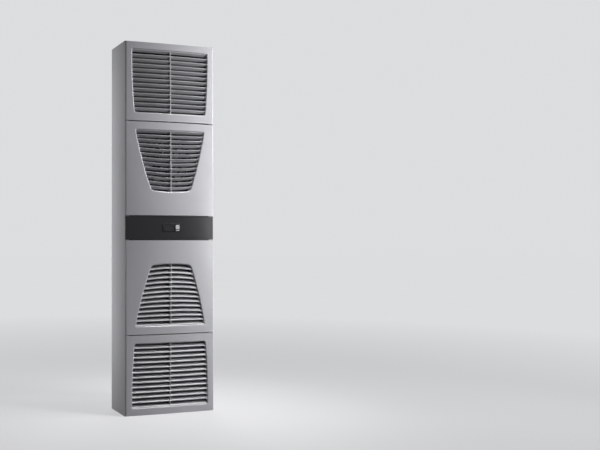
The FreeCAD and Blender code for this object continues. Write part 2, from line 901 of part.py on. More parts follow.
end_near = S.end_margin + S.end_louvre_height
filter_mat("bottom_filter", half - S.end_far_margin + mat_lap_x, S.end_margin - mat_lap_z, end_near + mat_lap_z)
filter_mat("lower_filter", half - S.waist_far_margin + mat_lap_x, waist_far - mat_lap_z, waist_near + mat_lap_z)


# Refrigerant circuit

def tube(label, points, radius, bend):
    """A pipe along straight runs with a bend at each corner."""
    edges = []
    start = points[0]
    for before, corner, after in zip(points, points[1:], points[2:]):
        inward = (before - corner).normalize()
        outward = (after - corner).normalize()
        entry = corner + inward * bend
        leave = corner + outward * bend
        centre = corner + (inward + outward) * bend
        middle = centre + (corner - centre).normalize() * bend
        edges.append(Part.LineSegment(start, entry).toShape())
        edges.append(Part.Arc(entry, middle, leave).toShape())
        start = leave
    edges.append(Part.LineSegment(start, points[-1]).toShape())
    heading = points[1] - points[0]
    circle = Part.Wire(Part.makeCircle(radius, points[0], heading))
    return shaped(Part.Wire(edges).makePipeShell([circle], True, True), label)


end_plate_gap = 2
end_plate_x = S.coil_half + end_plate_gap
lead_length = 14
lead_x = float(end_plate_x) + lead_length
bend_share = 0.2
condenser_passes = 8
evaporator_passes = 6


def coil(label, y, low, high, passes):
    """Fin pack and serpentine tube of one heat exchanger; returns the tube's two ends."""
    depth = S.coil_depth
    count = int(2 * float(S.coil_half) / float(S.fin_pitch)) + 1
    spread = (count - 1) * float(S.fin_pitch) / 2
    wall = float(S.fin_wall)
    fins = []
    for i in range(count):
        x = i * float(S.fin_pitch) - spread
        corner = V(x - wall / 2, float(y - depth / 2), float(low))
        fins.append(Part.makeBox(wall, float(depth), float(high - low), corner))
    shaped(Part.makeCompound(fins), f"{label}_fins")
    pitch = float(high - low) / passes
    bend = pitch * bend_share
    turn_x = float(end_plate_x) + end_plate_gap + bend
    points = [V(lead_x, float(y), float(low) + pitch / 2)]
    for i in range(passes):
        level = float(low) + (i + 0.5) * pitch
        side = -1 if i % 2 == 0 else 1
        if i > 0:
            points.append(V(-side * turn_x, float(y), level))
        if i < passes - 1:
            points.append(V(side * turn_x, float(y), level))
    points.append(V(lead_x, float(y), float(high) - pitch / 2))
    tube(f"{label}_tube", points, float(S.coil_tube), bend)
    return points[0], points[-1]


condenser_out, condenser_in = coil(
    "condenser", condenser_mid, condenser_low, condenser_high, condenser_passes)
evaporator_in, evaporator_out = coil(
    "evaporator", evaporator_mid, evaporator_low, evaporator_high, evaporator_passes)

end_plate_lap = 4
plate_x = (end_plate_x, end_plate_x + S.sheet_wall)
plate_z = (S.base_height, condenser_high + end_plate_lap)
cheek = box(plate_x, (rail_back, coil_back), plate_z)
wing = box((end_plate_x, rail_half), (rail_back, rail_back + S.sheet_wall), plate_z)
right_cheek = fuse(cheek, wing)
keep(group(right_cheek, mirror(right_cheek, V(1, 0, 0))), "condenser_end_plates")
cheek = box(
    plate_x,
    (foam_back, evaporator_mid + S.coil_depth / 2),
    (evaporator_low - end_plate_lap, evaporator_high + end_plate_lap),
)
keep(group(cheek, mirror(cheek, V(1, 0, 0))), "evaporator_end_plates")

machine_y = (coil_back + plate_front) / 2
shell_radius = (plate_front - coil_back) / 2 - S.compressor_clear
machine_x = -S.compressor_offset
foot_height = 10
foot_radius = 9
foot_inset = 11
machine_plate = 2.5
foot_top = S.base_height + foot_height
shell_low = foot_top + machine_plate
shell_high = shell_low + S.compressor_height

plate_half_x = shell_radius + 8
plate_half_y = shell_radius - 6
keep(
    box(
        (machine_x - plate_half_x, machine_x + plate_half_x),
        (machine_y - plate_half_y, machine_y + plate_half_y),
        (foot_top, shell_low),
    ),
    "compressor_plate",
)
feet = []
for side_x in (-1, 1):
    for side_y in (-1, 1):
        x = machine_x + side_x * (plate_half_x - foot_inset)
        y = machine_y + side_y * (plate_half_y - foot_inset)
        feet.append(rod("Z", x, y, S.base_height, foot_radius, foot_height))
keep(group(*feet), "compressor_feet")

compressor = new_body("compressor_shell")
outline = sketch_on(compressor, "XZ_Plane")
tall = S.compressor_height
weld = tall * 0.55
weld_top = weld + 4
weld_radius = shell_radius + 2.5
draw_polygon(outline, [
    (ZERO, ZERO),
    (shell_radius * 0.72, ZERO),
    (shell_radius, shell_radius * 0.3),
    (shell_radius, weld),
    (weld_radius, weld),
    (weld_radius, weld_top),
    (shell_radius, weld_top),
    (shell_radius, tall - shell_radius * 0.55),
    (shell_radius * 0.86, tall - shell_radius * 0.24),
    (shell_radius * 0.5, tall),
    (ZERO, tall),
])
spin(compressor, outline, "Z_Axis")
place(compressor, machine_x, machine_y, shell_low)
cap_x = machine_x + shell_radius
cap_depth = 22
cap_half = 24
cap_low = shell_low + 22
keep(
    box(
        (cap_x, cap_x + cap_depth), (machine_y - cap_half, machine_y + cap_half),
        (cap_low, cap_low + 2 * cap_half),
    ),
    "compressor_terminal_cover",
)


def spot(x, y, z):
    return V(float(x), float(y), float(z))


pipe_inset = 17
pipe_x = float(half) - pipe_inset
near_y = float(partition_front) - 9
discharge_level = shell_high + 56
discharge_radius = 4
tube("discharge_pipe", [
    condenser_in,
    spot(pipe_x, condenser_in.y, condenser_in.z),
    spot(pipe_x, near_y, condenser_in.z),
    spot(pipe_x, near_y, discharge_level),
    spot(machine_x, near_y, discharge_level),
    spot(machine_x, machine_y, discharge_level),
    spot(machine_x, machine_y, shell_high),
], discharge_radius, 11)

liquid_radius = 3
drier_x = pipe_x - 40
drier_y = near_y - 15
drier_radius = 11
drier_length = 110
drier_low = condenser_low + 360
drier_high = drier_low + drier_length
stem_length = 90
valve_height = 44
valve_radius = 9
valve_low = drier_high + stem_length
valve_high = valve_low + valve_height
liquid_level = drier_low - 34
tube("liquid_pipe", [
    condenser_out,
    spot(pipe_x, condenser_out.y, condenser_out.z),
    spot(pipe_x, drier_y, condenser_out.z),
    spot(pipe_x, drier_y, liquid_level),
    spot(drier_x, drier_y, liquid_level),
    spot(drier_x, drier_y, drier_low),
], liquid_radius, 9)
keep(rod("Z", drier_x, drier_y, drier_low, drier_radius, drier_length), "filter_drier")
valve_head_radius = 14
valve_head_depth = 8
stem = rod("Z", drier_x, drier_y, drier_high, liquid_radius, stem_length)
valve_body = rod("Z", drier_x, drier_y, valve_low, valve_radius, valve_height)
valve_head = rod(
    "Y", drier_x, drier_y - 2 * valve_head_depth, valve_low + valve_height / 2,
    valve_head_radius, valve_head_depth,
)
keep(fuse(stem, valve_body, valve_head), "expansion_valve")

cross_x = lead_x + 9
cross_level = evaporator_in.z - 25
tube("injection_pipe", [
    spot(drier_x, drier_y, valve_high),
    spot(drier_x, drier_y, cross_level),
    spot(cross_x, drier_y, cross_level),
    spot(cross_x, evaporator_in.y, cross_level),
    spot(cross_x, evaporator_in.y, evaporator_in.z),
    evaporator_in,
], liquid_radius, 8)
suction_radius = 5
suction_level = shell_low + 88
suction_turn_x = cap_x + 88
tube("suction_pipe", [
    evaporator_out,
    spot(pipe_x, evaporator_out.y, evaporator_out.z),
    spot(pipe_x, evaporator_out.y, suction_level),
    spot(suction_turn_x, evaporator_out.y, suction_level),
    spot(suction_turn_x, machine_y, suction_level),
    spot(cap_x, machine_y, suction_level),
], suction_radius, 10)

# Walls between the two air circuits

wall_trim = 2
floor_level = S.outlet_bottom - 30
wall_low = S.outlet_bottom - 100
wall_high = S.height - S.top_height - wall_trim
sheet_plain = box((-inner_half, inner_half), (partition_front, partition_back), (wall_low, wall_high))
foam_plain = box((-rail_half, rail_half), (partition_back, foam_back), (floor_level, wall_high))
for plain, label in ((sheet_plain, "partition"), (foam_plain, "insulation")):
    hole_radius = liquid_radius + S.fit_gap
    pipe_hole = rod("Y", cross_x, partition_front, cross_level, hole_radius, S.duct_depth)
    keep(cut(plain, pipe_hole), label)
drain_wall = 2
drain_outer = S.spigot_radius + 1
floor_plain = box(
    (-rail_half, rail_half), (partition_back, plate_front), (floor_level - S.sheet_wall, floor_level))
floor_holes = []
for x, radius in ((drain_x, drain_outer), (pipe_x, suction_radius)):
    floor_holes.append(
        rod("Z", x, evaporator_mid, floor_level - S.sheet_wall, radius + S.fit_gap, S.sheet_wall))
keep(cut(floor_plain, *floor_holes), "duct_floor")

# Condenser fan behind the upper tapered louvre

fan_low = S.height - band_edge + S.rail_height / 2 + 4
fan_high = wall_high - wall_trim
fan_fold = 16
collar_length = 30
collar_wall = 2
collar_front = fan_front - 12
ring_radius = S.fan_radius + S.fan_clear
fan_z = (fan_low, fan_high)
fan_wall = box((-inner_half, inner_half), (fan_front, fan_front + S.sheet_wall), fan_z)
folds = []
for side in (-1, 1):
    edges = sorted((side * inner_half, side * (inner_half - S.sheet_wall)), key=float)
    folds.append(box(edges, (fan_front, fan_front + fan_fold), fan_z))
collar = rod("Y", 0, collar_front, fan_level, ring_radius + collar_wall, collar_length)
throat = rod("Y", 0, collar_front, fan_level, ring_radius, collar_length)
keep(cut(fuse(fan_wall, *folds, collar), throat), "fan_plate")

guard_wire = 3
guard_depth = 4
guard_arm = 4
guard_stand = 20
guard_foot = 5
guard_boss = 36
guard_front = fan_front - guard_stand
guard_back = guard_front + guard_depth
guard_radius = ring_radius + 10
guard = []
for share in (1, 0.76, 0.54):
    outer = guard_radius * share
    guard.append(hoop("Y", 0, guard_front, fan_level, outer, outer - guard_wire, guard_depth))
guard.append(rod("Y", 0, guard_front, fan_level, guard_boss, guard_depth))
arm = guard_radius - guard_wire / 2
guard_y = (guard_front, guard_back)
guard.append(box((-arm, arm), guard_y, (fan_level - guard_arm, fan_level + guard_arm)))
guard.append(box((ZERO - guard_arm, ZERO + guard_arm), guard_y, (fan_level - arm, fan_level + arm)))
for step_x, step_z in ((1, 0), (-1, 0), (0, 1), (0, -1)):
    foot_level = fan_level + step_z * arm
    guard.append(rod("Y", step_x * arm, guard_front, foot_level, guard_foot, guard_stand))
keep(fuse(*guard), "condenser_fan_guard")

shaft_radius = 4
shaft_length = 40
bore_radius = 4.05
fan_can_radius = 34
fan_can_depth = 12
hub_gap = 0.5
can = rod("Y", 0, guard_back, fan_level, fan_can_radius, fan_can_depth)
shaft = rod("Y", 0, guard_back, fan_level, shaft_radius, shaft_length)
keep(fuse(can, shaft), "condenser_fan_motor")


def fan_impeller():
    """Hub with five twisted blades, turning about the Y axis at the fan's centre."""
    level = float(fan_level)
    along = V(0, 1, 0)
    hub_front = float(guard_back) + fan_can_depth + hub_gap
    hub_length = 39
    hub_radius = 42
    blade_count = 5
    root_chord, root_pitch, root_bite = 46, 42, 6
    tip_chord, tip_pitch, tip_spare = 84, 22, 8
    base = V(0, hub_front, level)
    hub = Part.makeCylinder(hub_radius, hub_length, base, along)
    blade_y = hub_front + hub_length / 2
    tip = float(S.fan_radius)

    def section(radius, chord, pitch_angle):
        lean = math.radians(pitch_angle)
        run = V(0, math.sin(lean), math.cos(lean))
        thick = V(0, math.cos(lean), -math.sin(lean))
        middle = V(radius, blade_y, level)
        corners = [
            middle - run * chord / 2 - thick,
            middle + run * chord / 2 - thick / 2,
            middle + run * chord / 2 + thick / 2,
            middle - run * chord / 2 + thick,
        ]
        return Part.makePolygon(corners + [corners[0]])

    root = section(hub_radius - root_bite, root_chord, root_pitch)
    outer_end = section(tip + tip_spare, tip_chord, tip_pitch)
    sweep = Part.makeCylinder(tip, 2 * hub_length, V(0, hub_front - hub_length / 2, level), along)
    blade = Part.makeLoft([root, outer_end], True, True).common(sweep)
    blades = []
    for i in range(blade_count):
        copy = blade.copy()
        copy.rotate(base, along, 360 / blade_count * i)
        blades.append(copy)
    bore = Part.makeCylinder(bore_radius, hub_length, base, along)
    return hub.fuse(blades).cut(bore).removeSplitter()


shaped(fan_impeller(), "condenser_fan_impeller")

# Evaporator fan at the rear inlet

blower_can_radius = 38
blower_can_depth = 20
blower_gap = 2.5
throat_share = 0.68
blower_front = foam_back + blower_can_depth + blower_gap
can = rod("Y", 0, foam_back, intake_level, blower_can_radius, blower_can_depth)
shaft = rod("Y", 0, foam_back, intake_level, shaft_radius, shaft_length)
keep(fuse(can, shaft), "evaporator_fan_motor")


def blower_impeller():
    """Back disc, front ring and nine swept vanes about the Y axis at the inlet's centre."""
    level = float(intake_level)
    along = V(0, 1, 0)
    outer = float(S.blower_radius)
    inner = outer * throat_share
    y = float(blower_front)
    depth = 30
    plate = 2
    hub_radius = 14
    hub_length = 17
    vane_count = 9
    vane_sweep = 48
    vane_start = inner * 0.82
    vane_length = outer - inner + 8
    vane_depth = depth - 1.5 * plate

    def disc(radius, start, length):
        return Part.makeCylinder(radius, length, V(0, start, level), along)

    ring_start = y + depth - plate
    body = disc(outer, y, plate).fuse(disc(hub_radius, y, hub_length))
    body = body.fuse(disc(outer, ring_start, plate).cut(disc(inner + plate, ring_start, plate)))
    vanes = []
    for i in range(vane_count):
        corner = V(0, y + 0.75 * plate, -plate / 2)
        vane = Part.makeBox(vane_length, vane_depth, plate, corner)
        vane.rotate(V(0, 0, 0), along, vane_sweep)
        vane.translate(V(vane_start, 0, level))
        vane = vane.common(disc(outer - 1, y, depth))
        vane.rotate(V(0, 0, level), along, 360 / vane_count * i)
        vanes.append(vane)
    return body.fuse(vanes).cut(disc(bore_radius, y, depth)).removeSplitter()


shaped(blower_impeller(), "evaporator_fan_impeller")

inlet_ring = new_body("inlet_ring")
outline = sketch_on(inlet_ring, "XY_Plane")
ring_wall = 1.5
ring_flange = S.intake_radius + 10
throat_radius = S.blower_radius * throat_share
throat_start = plate_front - 11
throat_end = plate_front - 17
draw_polygon(outline, [
    (ring_flange, plate_front),
    (ring_flange, plate_front - ring_wall),
    (throat_radius + 8, plate_front - ring_wall),
    (throat_radius, throat_start),
    (throat_radius, throat_end),
    (throat_radius - ring_wall, throat_end),
    (throat_radius - ring_wall, throat_start),
    (throat_radius + 6, plate_front),
])
spin(inlet_ring, outline, "Y_Axis")
place(inlet_ring, ZERO, ZERO, intake_level)

bar_width = 2.2
bar_depth = 1.5
bar_half = 1.2
rim_radius = S.intake_radius + 7
bars = []
for share in (1, 0.72, 0.46, 0.2):
    outer = rim_radius * share
    bars.append(hoop("Y", 0, rear, intake_level, outer, outer - bar_width, bar_depth))
arm = rim_radius - bar_width / 2
guard_y = (rear, rear + bar_depth)
bars.append(box((-arm, arm), guard_y, (intake_level - bar_half, intake_level + bar_half)))
bars.append(box((ZERO - bar_half, ZERO + bar_half), guard_y, (intake_level - arm, intake_level + arm)))
keep(fuse(*bars), "intake_guard")

# Condensate drain

tray_wall = 1.5
tray_low = evaporator_low - 60
tray_high = evaporator_low - 25
tray_half = half - 30.5
tray_x = (-tray_half, tray_half)
tray_y = (foam_back, evaporator_mid + 24)
condensate_tray = new_body("condensate_tray")
outline = sketch_on(condensate_tray, "XY_Plane", tray_low)
draw_rectangle(outline, tray_x, tray_y)
extrude(condensate_tray, "Pad", outline, tray_high - tray_low)
hollow = sketch_on(condensate_tray, "XY_Plane", tray_high)
draw_rectangle(
    hollow,
    (tray_x[0] + tray_wall, tray_x[1] - tray_wall),
    (tray_y[0] + tray_wall, tray_y[1] - tray_wall),
)
extrude(condensate_tray, "Pocket", hollow, tray_high - tray_low - tray_wall)
outfall = sketch_on(condensate_tray, "XY_Plane", tray_low + tray_wall)
draw_circle(outfall, drain_x, drain_y, drain_outer - drain_wall)
extrude(condensate_tray, "Pocket", outfall, tray_wall)

flange_height = 2
spigot_top = S.base_height + flange_height
drain_inner = drain_outer - drain_wall
keep(
    hoop("Z", drain_x, drain_y, spigot_top, drain_outer, drain_inner, tray_low - spigot_top),
    "drain_tube",
)
pan_under = S.base_height - S.sheet_wall
spigot_end = pan_under - S.spigot_neck - S.spigot_length
stem = rod("Z", drain_x, drain_y, spigot_end, S.spigot_radius, S.spigot_length)
neck_radius = S.spigot_radius - 1
neck = rod("Z", drain_x, drain_y, spigot_end, neck_radius, S.base_height - spigot_end)
flange = rod("Z", drain_x, drain_y, S.base_height, S.spigot_radius * 2, flange_height)
bore_length = spigot_top - spigot_end
bore = rod("Z", drain_x, drain_y, spigot_end, S.spigot_radius - drain_wall, bore_length)
keep(cut(fuse(stem, neck, flange), bore), "drain_spigot")

block_half_width = plug_half_width + 5
block_half_height = plug_half_height + 5
block_depth = 32
keep(
    box(
        (plug_x - block_half_width, plug_x + block_half_width),
        (plate_front - block_depth, plate_front),
        (ZERO + plug_level - block_half_height, ZERO + plug_level + block_half_height),
    ),
    "terminal_block",
)

# Check and write

doc.recompute()
for piece in doc.Objects:
    if "Invalid" in piece.State or "Error" in piece.State:
        raise RuntimeError(f"{piece.Label} did not compute: {piece.State}")
os.makedirs("parts", exist_ok=True)
for piece in PARTS:
    if piece.Shape.isNull() or not piece.Shape.isValid():
        raise RuntimeError(f"{piece.Label} has no valid shape")
    piece.Shape.exportStep(f"parts/{piece.Label}.step")
    print(piece.Label, len(piece.Shape.Solids), round(piece.Shape.Volume))
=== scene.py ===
import json
import math

import bpy
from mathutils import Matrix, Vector


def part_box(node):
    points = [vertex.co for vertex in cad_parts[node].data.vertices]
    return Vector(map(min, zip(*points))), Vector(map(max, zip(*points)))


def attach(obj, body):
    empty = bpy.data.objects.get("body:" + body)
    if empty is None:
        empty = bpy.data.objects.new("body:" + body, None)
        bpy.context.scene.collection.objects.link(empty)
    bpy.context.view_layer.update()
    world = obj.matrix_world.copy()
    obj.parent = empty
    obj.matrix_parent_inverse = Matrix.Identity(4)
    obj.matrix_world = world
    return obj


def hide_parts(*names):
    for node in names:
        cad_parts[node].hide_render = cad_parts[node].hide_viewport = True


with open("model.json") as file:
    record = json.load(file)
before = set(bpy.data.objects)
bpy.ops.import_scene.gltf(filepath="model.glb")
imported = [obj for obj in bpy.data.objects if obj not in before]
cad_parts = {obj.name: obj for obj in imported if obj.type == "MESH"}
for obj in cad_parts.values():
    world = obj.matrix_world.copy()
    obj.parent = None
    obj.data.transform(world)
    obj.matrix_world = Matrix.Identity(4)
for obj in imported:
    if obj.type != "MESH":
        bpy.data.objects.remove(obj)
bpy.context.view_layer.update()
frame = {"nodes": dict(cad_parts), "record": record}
nodes = frame["nodes"]

MM = 0.001


# Material nodes

# Cosine between the rolled and the flat normal at which wear starts and is full
WEAR_START = 0.97
WEAR_FULL = 0.75

# Upward part of the normal at which dust starts to lie and lies fully
DUST_START = 0.5
DUST_FULL = 0.95


class Tree:
    """Short calls for building one material's node tree."""

    def __init__(self, name):
        self.material = bpy.data.materials.new(name)
        self.material.use_nodes = True
        self.nodes = self.material.node_tree.nodes
        self.links = self.material.node_tree.links
        self.shader = self.nodes["Principled BSDF"]

    def add(self, kind, **values):
        """A node with its inputs and settings filled in by name."""
        node = self.nodes.new(f"ShaderNode{kind}")
        for key, value in values.items():
            if key in node.inputs:
                node.inputs[key].default_value = value
            else:
                setattr(node, key, value)
        return node

    def link(self, source, target):
        self.links.new(source, target)

    def place(self):
        """Coordinates in metres that move with the piece."""
        return self.add("TexCoord").outputs["Object"]

    def noise(self, scale, detail=3.0, rough=0.55, vector=None):
        node = self.add("TexNoise", Scale=scale, Detail=detail, Roughness=rough)
        self.link(vector or self.place(), node.inputs["Vector"])
        return node.outputs["Fac"]

    def cells(self, scale, output="Distance"):
        node = self.add("TexVoronoi", Scale=scale)
        self.link(self.place(), node.inputs["Vector"])
        return node.outputs[output]

    def stretch(self, scale):
        """Coordinates scaled by axis, for rubbed or drawn surfaces."""
        node = self.add("Mapping", Scale=scale)
        self.link(self.place(), node.inputs["Vector"])
        return node.outputs["Vector"]

    def remap(self, value, low, high, to_low, to_high):
        """A value carried from one range to another and held within it."""
        ends = {"From Min": low, "From Max": high, "To Min": to_low, "To Max": to_high}
        node = self.add("MapRange", **ends)
        self.link(value, node.inputs["Value"])
        return node.outputs["Result"]

    def times(self, a, b):
        node = self.add("Math", operation="MULTIPLY")
        self.link(a, node.inputs[0])
        self.link(b, node.inputs[1])
        return node.outputs["Value"]

    def mix(self, factor, first, second):
        """Blend of two colours, each a colour value or another node's output."""
        node = self.add("Mix", data_type="RGBA")
        self.link(factor, node.inputs["Factor"])
        for key, colour in (("A", first), ("B", second)):
            socket = next(item for item in node.inputs if item.name == key and item.type == "RGBA")
            if isinstance(colour, tuple):
                socket.default_value = (*colour, 1.0)
            else:
                self.link(colour, socket)
        return next(item for item in node.outputs if item.type == "RGBA")

    def rolled(self, radius):
        """Normals that roll over each edge as if it were rounded to a radius."""
        return self.add("Bevel", Radius=radius).outputs["Normal"]

    def edge_mask(self, rolled):
        """1 on edges, where the rolled normal leaves the face's own, and 0 on flat faces."""
        dot = self.add("VectorMath", operation="DOT_PRODUCT")
        self.link(rolled, dot.inputs[0])
        self.link(self.add("NewGeometry").outputs["True Normal"], dot.inputs[1])
        return self.remap(dot.outputs["Value"], WEAR_START, WEAR_FULL, 0.0, 1.0)

    def upward(self):
        """1 on faces that look up, where dust settles."""
        split = self.add("SeparateXYZ")
        self.link(self.add("NewGeometry").outputs["Normal"], split.inputs["Vector"])
        return self.remap(split.outputs["Z"], DUST_START, DUST_FULL, 0.0, 1.0)

    def bump(self, height, depth, strength, normal=None):
        node = self.add("Bump", Strength=strength, Distance=depth)
        self.link(height, node.inputs["Height"])
        if normal is not None:
            self.link(normal, node.inputs["Normal"])
        return node.outputs["Normal"]

    def seen_directly(self):
        return seen_directly(self.nodes, self.links)

    def finish(self, colour, roughness, normal, metallic=0.0):
        self.link(colour, self.shader.inputs["Base Color"])
        self.link(roughness, self.shader.inputs["Roughness"])
        self.link(normal, self.shader.inputs["Normal"])
        self.shader.inputs["Metallic"].default_value = metallic
        return self.material


def seen_directly(tree_nodes, tree_links):
    """1 for what the camera, a glossy or a clear surface sees, 0 for light that falls on the object."""
    path = tree_nodes.new("ShaderNodeLightPath")
    total = path.outputs["Is Camera Ray"]
    for name in ("Is Glossy Ray", "Is Transmission Ray"):
        larger = tree_nodes.new("ShaderNodeMath")
        larger.operation = "MAXIMUM"
        tree_links.new(total, larger.inputs[0])
        tree_links.new(path.outputs[name], larger.inputs[1])
        total = larger.outputs["Value"]
    return total


def shade(colour, factor):
    return tuple(min(1.0, channel * factor) for channel in colour)


# Finishes

DUST_GREY = (0.5, 0.48, 0.45)
SPECK_GREY = (0.12, 0.12, 0.12)


def coated(name, colour, rough, grain_scale, grain_depth, edge=1.2, radius=1.0 * MM, dust=0.25, shine=0.5):
    """Paint or moulded plastic: mottled tone, fine grain, paler edges, dust on top."""
    t = Tree(name)
    cloud = t.noise(scale=5.0, detail=4.0)
    grain = t.noise(scale=grain_scale, detail=2.0)
    tone = t.mix(t.remap(cloud, 0.3, 0.7, 0.0, 1.0), shade(colour, 0.96), shade(colour, 1.03))
    tone = t.mix(t.remap(grain, 0.45, 0.75, 0.0, 0.35), tone, shade(colour, 0.9))
    rolled = t.rolled(radius)
    rubbing = t.remap(t.noise(scale=60.0, detail=5.0), 0.4, 0.6, 0.15, 0.8)
    tone = t.mix(t.times(t.edge_mask(rolled), rubbing), tone, shade(colour, edge))
    patches = t.remap(t.noise(scale=25.0, detail=4.0), 0.35, 0.7, 0.0, dust)
    tone = t.mix(t.times(t.upward(), patches), tone, DUST_GREY)
    roughness = t.remap(t.noise(scale=14.0, detail=4.0), 0.3, 0.7, rough - 0.015, rough + 0.02)
    t.shader.inputs["Specular IOR Level"].default_value = shine
    return t.finish(tone, roughness, t.bump(grain, grain_depth, 0.35, rolled))


def gloss(name, colour, rough, coat=0.6):
    """Polished dark plastic with fine rubbing marks and a little dust."""
    t = Tree(name)
    marks = t.noise(scale=220.0, detail=5.0, rough=0.7, vector=t.stretch((1.0, 1.0, 0.12)))
    specks = t.remap(t.noise(scale=900.0, detail=2.0), 0.66, 0.74, 0.0, 0.35)
    tone = t.mix(specks, colour, SPECK_GREY)
    roughness = t.remap(marks, 0.35, 0.75, rough, rough + 0.1)
    t.shader.inputs["Specular IOR Level"].default_value = 0.25
    t.shader.inputs["Coat Weight"].default_value = coat
    t.shader.inputs["Coat Roughness"].default_value = 0.04
    return t.finish(tone, roughness, t.bump(marks, 0.01 * MM, 0.3, t.rolled(0.5 * MM)))


def zinc(name, colour):
    """Galvanised sheet with its crystal spangle."""
    t = Tree(name)
    spangle = t.add("RGBToBW")
    t.link(t.cells(140.0, "Color"), spangle.inputs["Color"])
    crystal = spangle.outputs["Val"]
    tone = t.mix(crystal, shade(colour, 0.82), shade(colour, 1.12))
    stain = t.remap(t.noise(scale=9.0, detail=5.0), 0.5, 0.75, 0.0, 0.4)
    tone = t.mix(stain, tone, shade(colour, 0.7))
    roughness = t.remap(crystal, 0.0, 1.0, 0.32, 0.52)
    normal = t.bump(t.noise(scale=320.0), 0.04 * MM, 0.3, t.rolled(0.6 * MM))
    return t.finish(tone, roughness, normal, metallic=1.0)


def drawn_metal(name, colour, stain, rough, along):
    """Copper, brass or aluminium with drawing lines and tarnish."""
    t = Tree(name)
    lines = t.noise(scale=500.0, rough=0.6, vector=t.stretch(along))
    tarnish = t.remap(t.noise(scale=35.0, detail=5.0), 0.42, 0.72, 0.0, 0.75)
    tone = t.mix(tarnish, colour, stain)
    roughness = t.remap(lines, 0.3, 0.7, rough - 0.06, rough + 0.1)
    normal = t.bump(lines, 0.03 * MM, 0.4, t.rolled(0.4 * MM))
    return t.finish(tone, roughness, normal, metallic=1.0)


def foam(name, colour, scale, depth):
    """Open or closed cell foam."""
    t = Tree(name)
    cell = t.cells(scale)
    fibre = t.noise(scale=scale * 2.3, detail=4.0)
    # The cell hollows, where the bump lies lowest, are painted darker: painted shade in the pores
    tone = t.mix(t.remap(cell, 0.1, 0.6, 0.0, 1.0), shade(colour, 0.45), shade(colour, 1.3))
    dust = t.remap(t.noise(scale=12.0), 0.4, 0.7, 0.0, 0.5)
    tone = t.mix(dust, tone, shade(colour, 1.8))
    roughness = t.remap(fibre, 0.2, 0.8, 0.85, 1.0)
    return t.finish(tone, roughness, t.bump(t.times(cell, fibre), depth, 0.9))


def rubber(name, colour):
    """Matt rubber with a paler bloom and a fine speckle."""
    t = Tree(name)
    speckle = t.noise(scale=700.0)
    bloom = t.remap(t.noise(scale=40.0, detail=4.0), 0.4, 0.7, 0.0, 0.6)
    tone = t.mix(bloom, colour, shade(colour, 2.2))
    roughness = t.remap(speckle, 0.3, 0.7, 0.7, 0.9)
    return t.finish(tone, roughness, t.bump(speckle, 0.08 * MM, 0.5, t.rolled(0.8 * MM)))


LIGHT_GREY = (0.43, 0.43, 0.455)
BAND_BLACK = (0.013, 0.013, 0.015)
KEY_GREY = (0.52, 0.53, 0.55)
# Near-black paint, partly painted shade: it darkens the parts seen through the louvre gaps and cover
# grooves
PAINT_AND_GAP_SHADE_BLACK = (0.018, 0.018, 0.02)
FAN_BLACK = (0.022, 0.022, 0.024)
TRAY_GREY = (0.3, 0.31, 0.32)
ALUMINIUM, OXIDE = (0.72, 0.73, 0.74), (0.5, 0.5, 0.5)
COPPER, BROWN_COPPER = (0.72, 0.36, 0.22), (0.33, 0.16, 0.1)
BRASS, BROWN_BRASS = (0.72, 0.54, 0.25), (0.42, 0.3, 0.13)

MATERIALS = {
    "light_paint": coated("light_paint", LIGHT_GREY, 0.34, 900.0, 0.12 * MM),
    "light_plastic": coated("light_plastic", LIGHT_GREY, 0.29, 1400.0, 0.05 * MM),
    "dark_plastic": coated("dark_plastic", BAND_BLACK, 0.3, 1500.0, 0.05 * MM, edge=1.9, shine=0.3),
    "gloss_black": gloss("gloss_black", (0.004, 0.004, 0.005), 0.16, coat=0.05),
    "window": gloss("window", (0.01, 0.011, 0.013), 0.08, coat=0.35),
    "key_grey": coated("key_grey", KEY_GREY, 0.4, 1600.0, 0.04 * MM, edge=1.15, radius=0.5 * MM, dust=0.1),
    "lamp": gloss("lamp", (0.05, 0.22, 0.07), 0.15),
    "zinc": zinc("zinc", (0.56, 0.57, 0.58)),
    "fin": drawn_metal("fin", ALUMINIUM, OXIDE, 0.35, (1.0, 1.0, 0.05)),
    "copper": drawn_metal("copper", COPPER, BROWN_COPPER, 0.32, (0.2, 0.2, 0.2)),
    "brass": drawn_metal("brass", BRASS, BROWN_BRASS, 0.34, (1.0, 1.0, 0.1)),
    # black_paint: a real black paint and partly painted shade, so that the louvre gaps and cover grooves
    # read dark
    "black_paint": coated("black_paint", PAINT_AND_GAP_SHADE_BLACK, 0.34, 420.0, 0.1 * MM, edge=2.4),
    "rubber": rubber("rubber", (0.022, 0.022, 0.023)),
    "foam": foam("foam", (0.06, 0.06, 0.065), 700.0, 0.4 * MM),
    "mat": foam("mat", (0.045, 0.045, 0.048), 420.0, 1.2 * MM),
    "fan_plastic": coated("fan_plastic", FAN_BLACK, 0.45, 1200.0, 0.06 * MM, edge=1.8),
    "tray_plastic": coated("tray_plastic", TRAY_GREY, 0.45, 1100.0, 0.06 * MM),
}

SHARP_NODE = math.radians(32)


def dress_nodes():
    """Gives every piece its material and smooth shading up to its sharp edges."""
    for row in frame["record"]["subparts"]:
        mesh = nodes[row["node"]].data
        mesh.materials.clear()
        mesh.materials.append(MATERIALS[row["material_slot"]])
        mesh.polygons.foreach_set("use_smooth", [True] * len(mesh.polygons))
        mesh.set_sharp_from_angle(angle=SHARP_NODE)


dress_nodes()


# Detail pieces that stand for plain solids

def piece_from(name, points, faces, slot, body, stands_for):
    """A smooth mesh that takes a record slot's finish and the place of a node."""
    mesh = bpy.data.meshes.new(name)
    mesh.from_pydata(points, [], faces)
    mesh.polygons.foreach_set("use_smooth", [True] * len(mesh.polygons))
    mesh.materials.append(MATERIALS[slot])
    piece = bpy.data.objects.new(name, mesh)
    bpy.context.scene.collection.objects.link(piece)
    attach(piece, body)
    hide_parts(stands_for)
    return piece


def grid_values(count):
    """Evenly spaced values from -1 to 1."""
    return [2 * i / (count - 1) - 1 for i in range(count)]


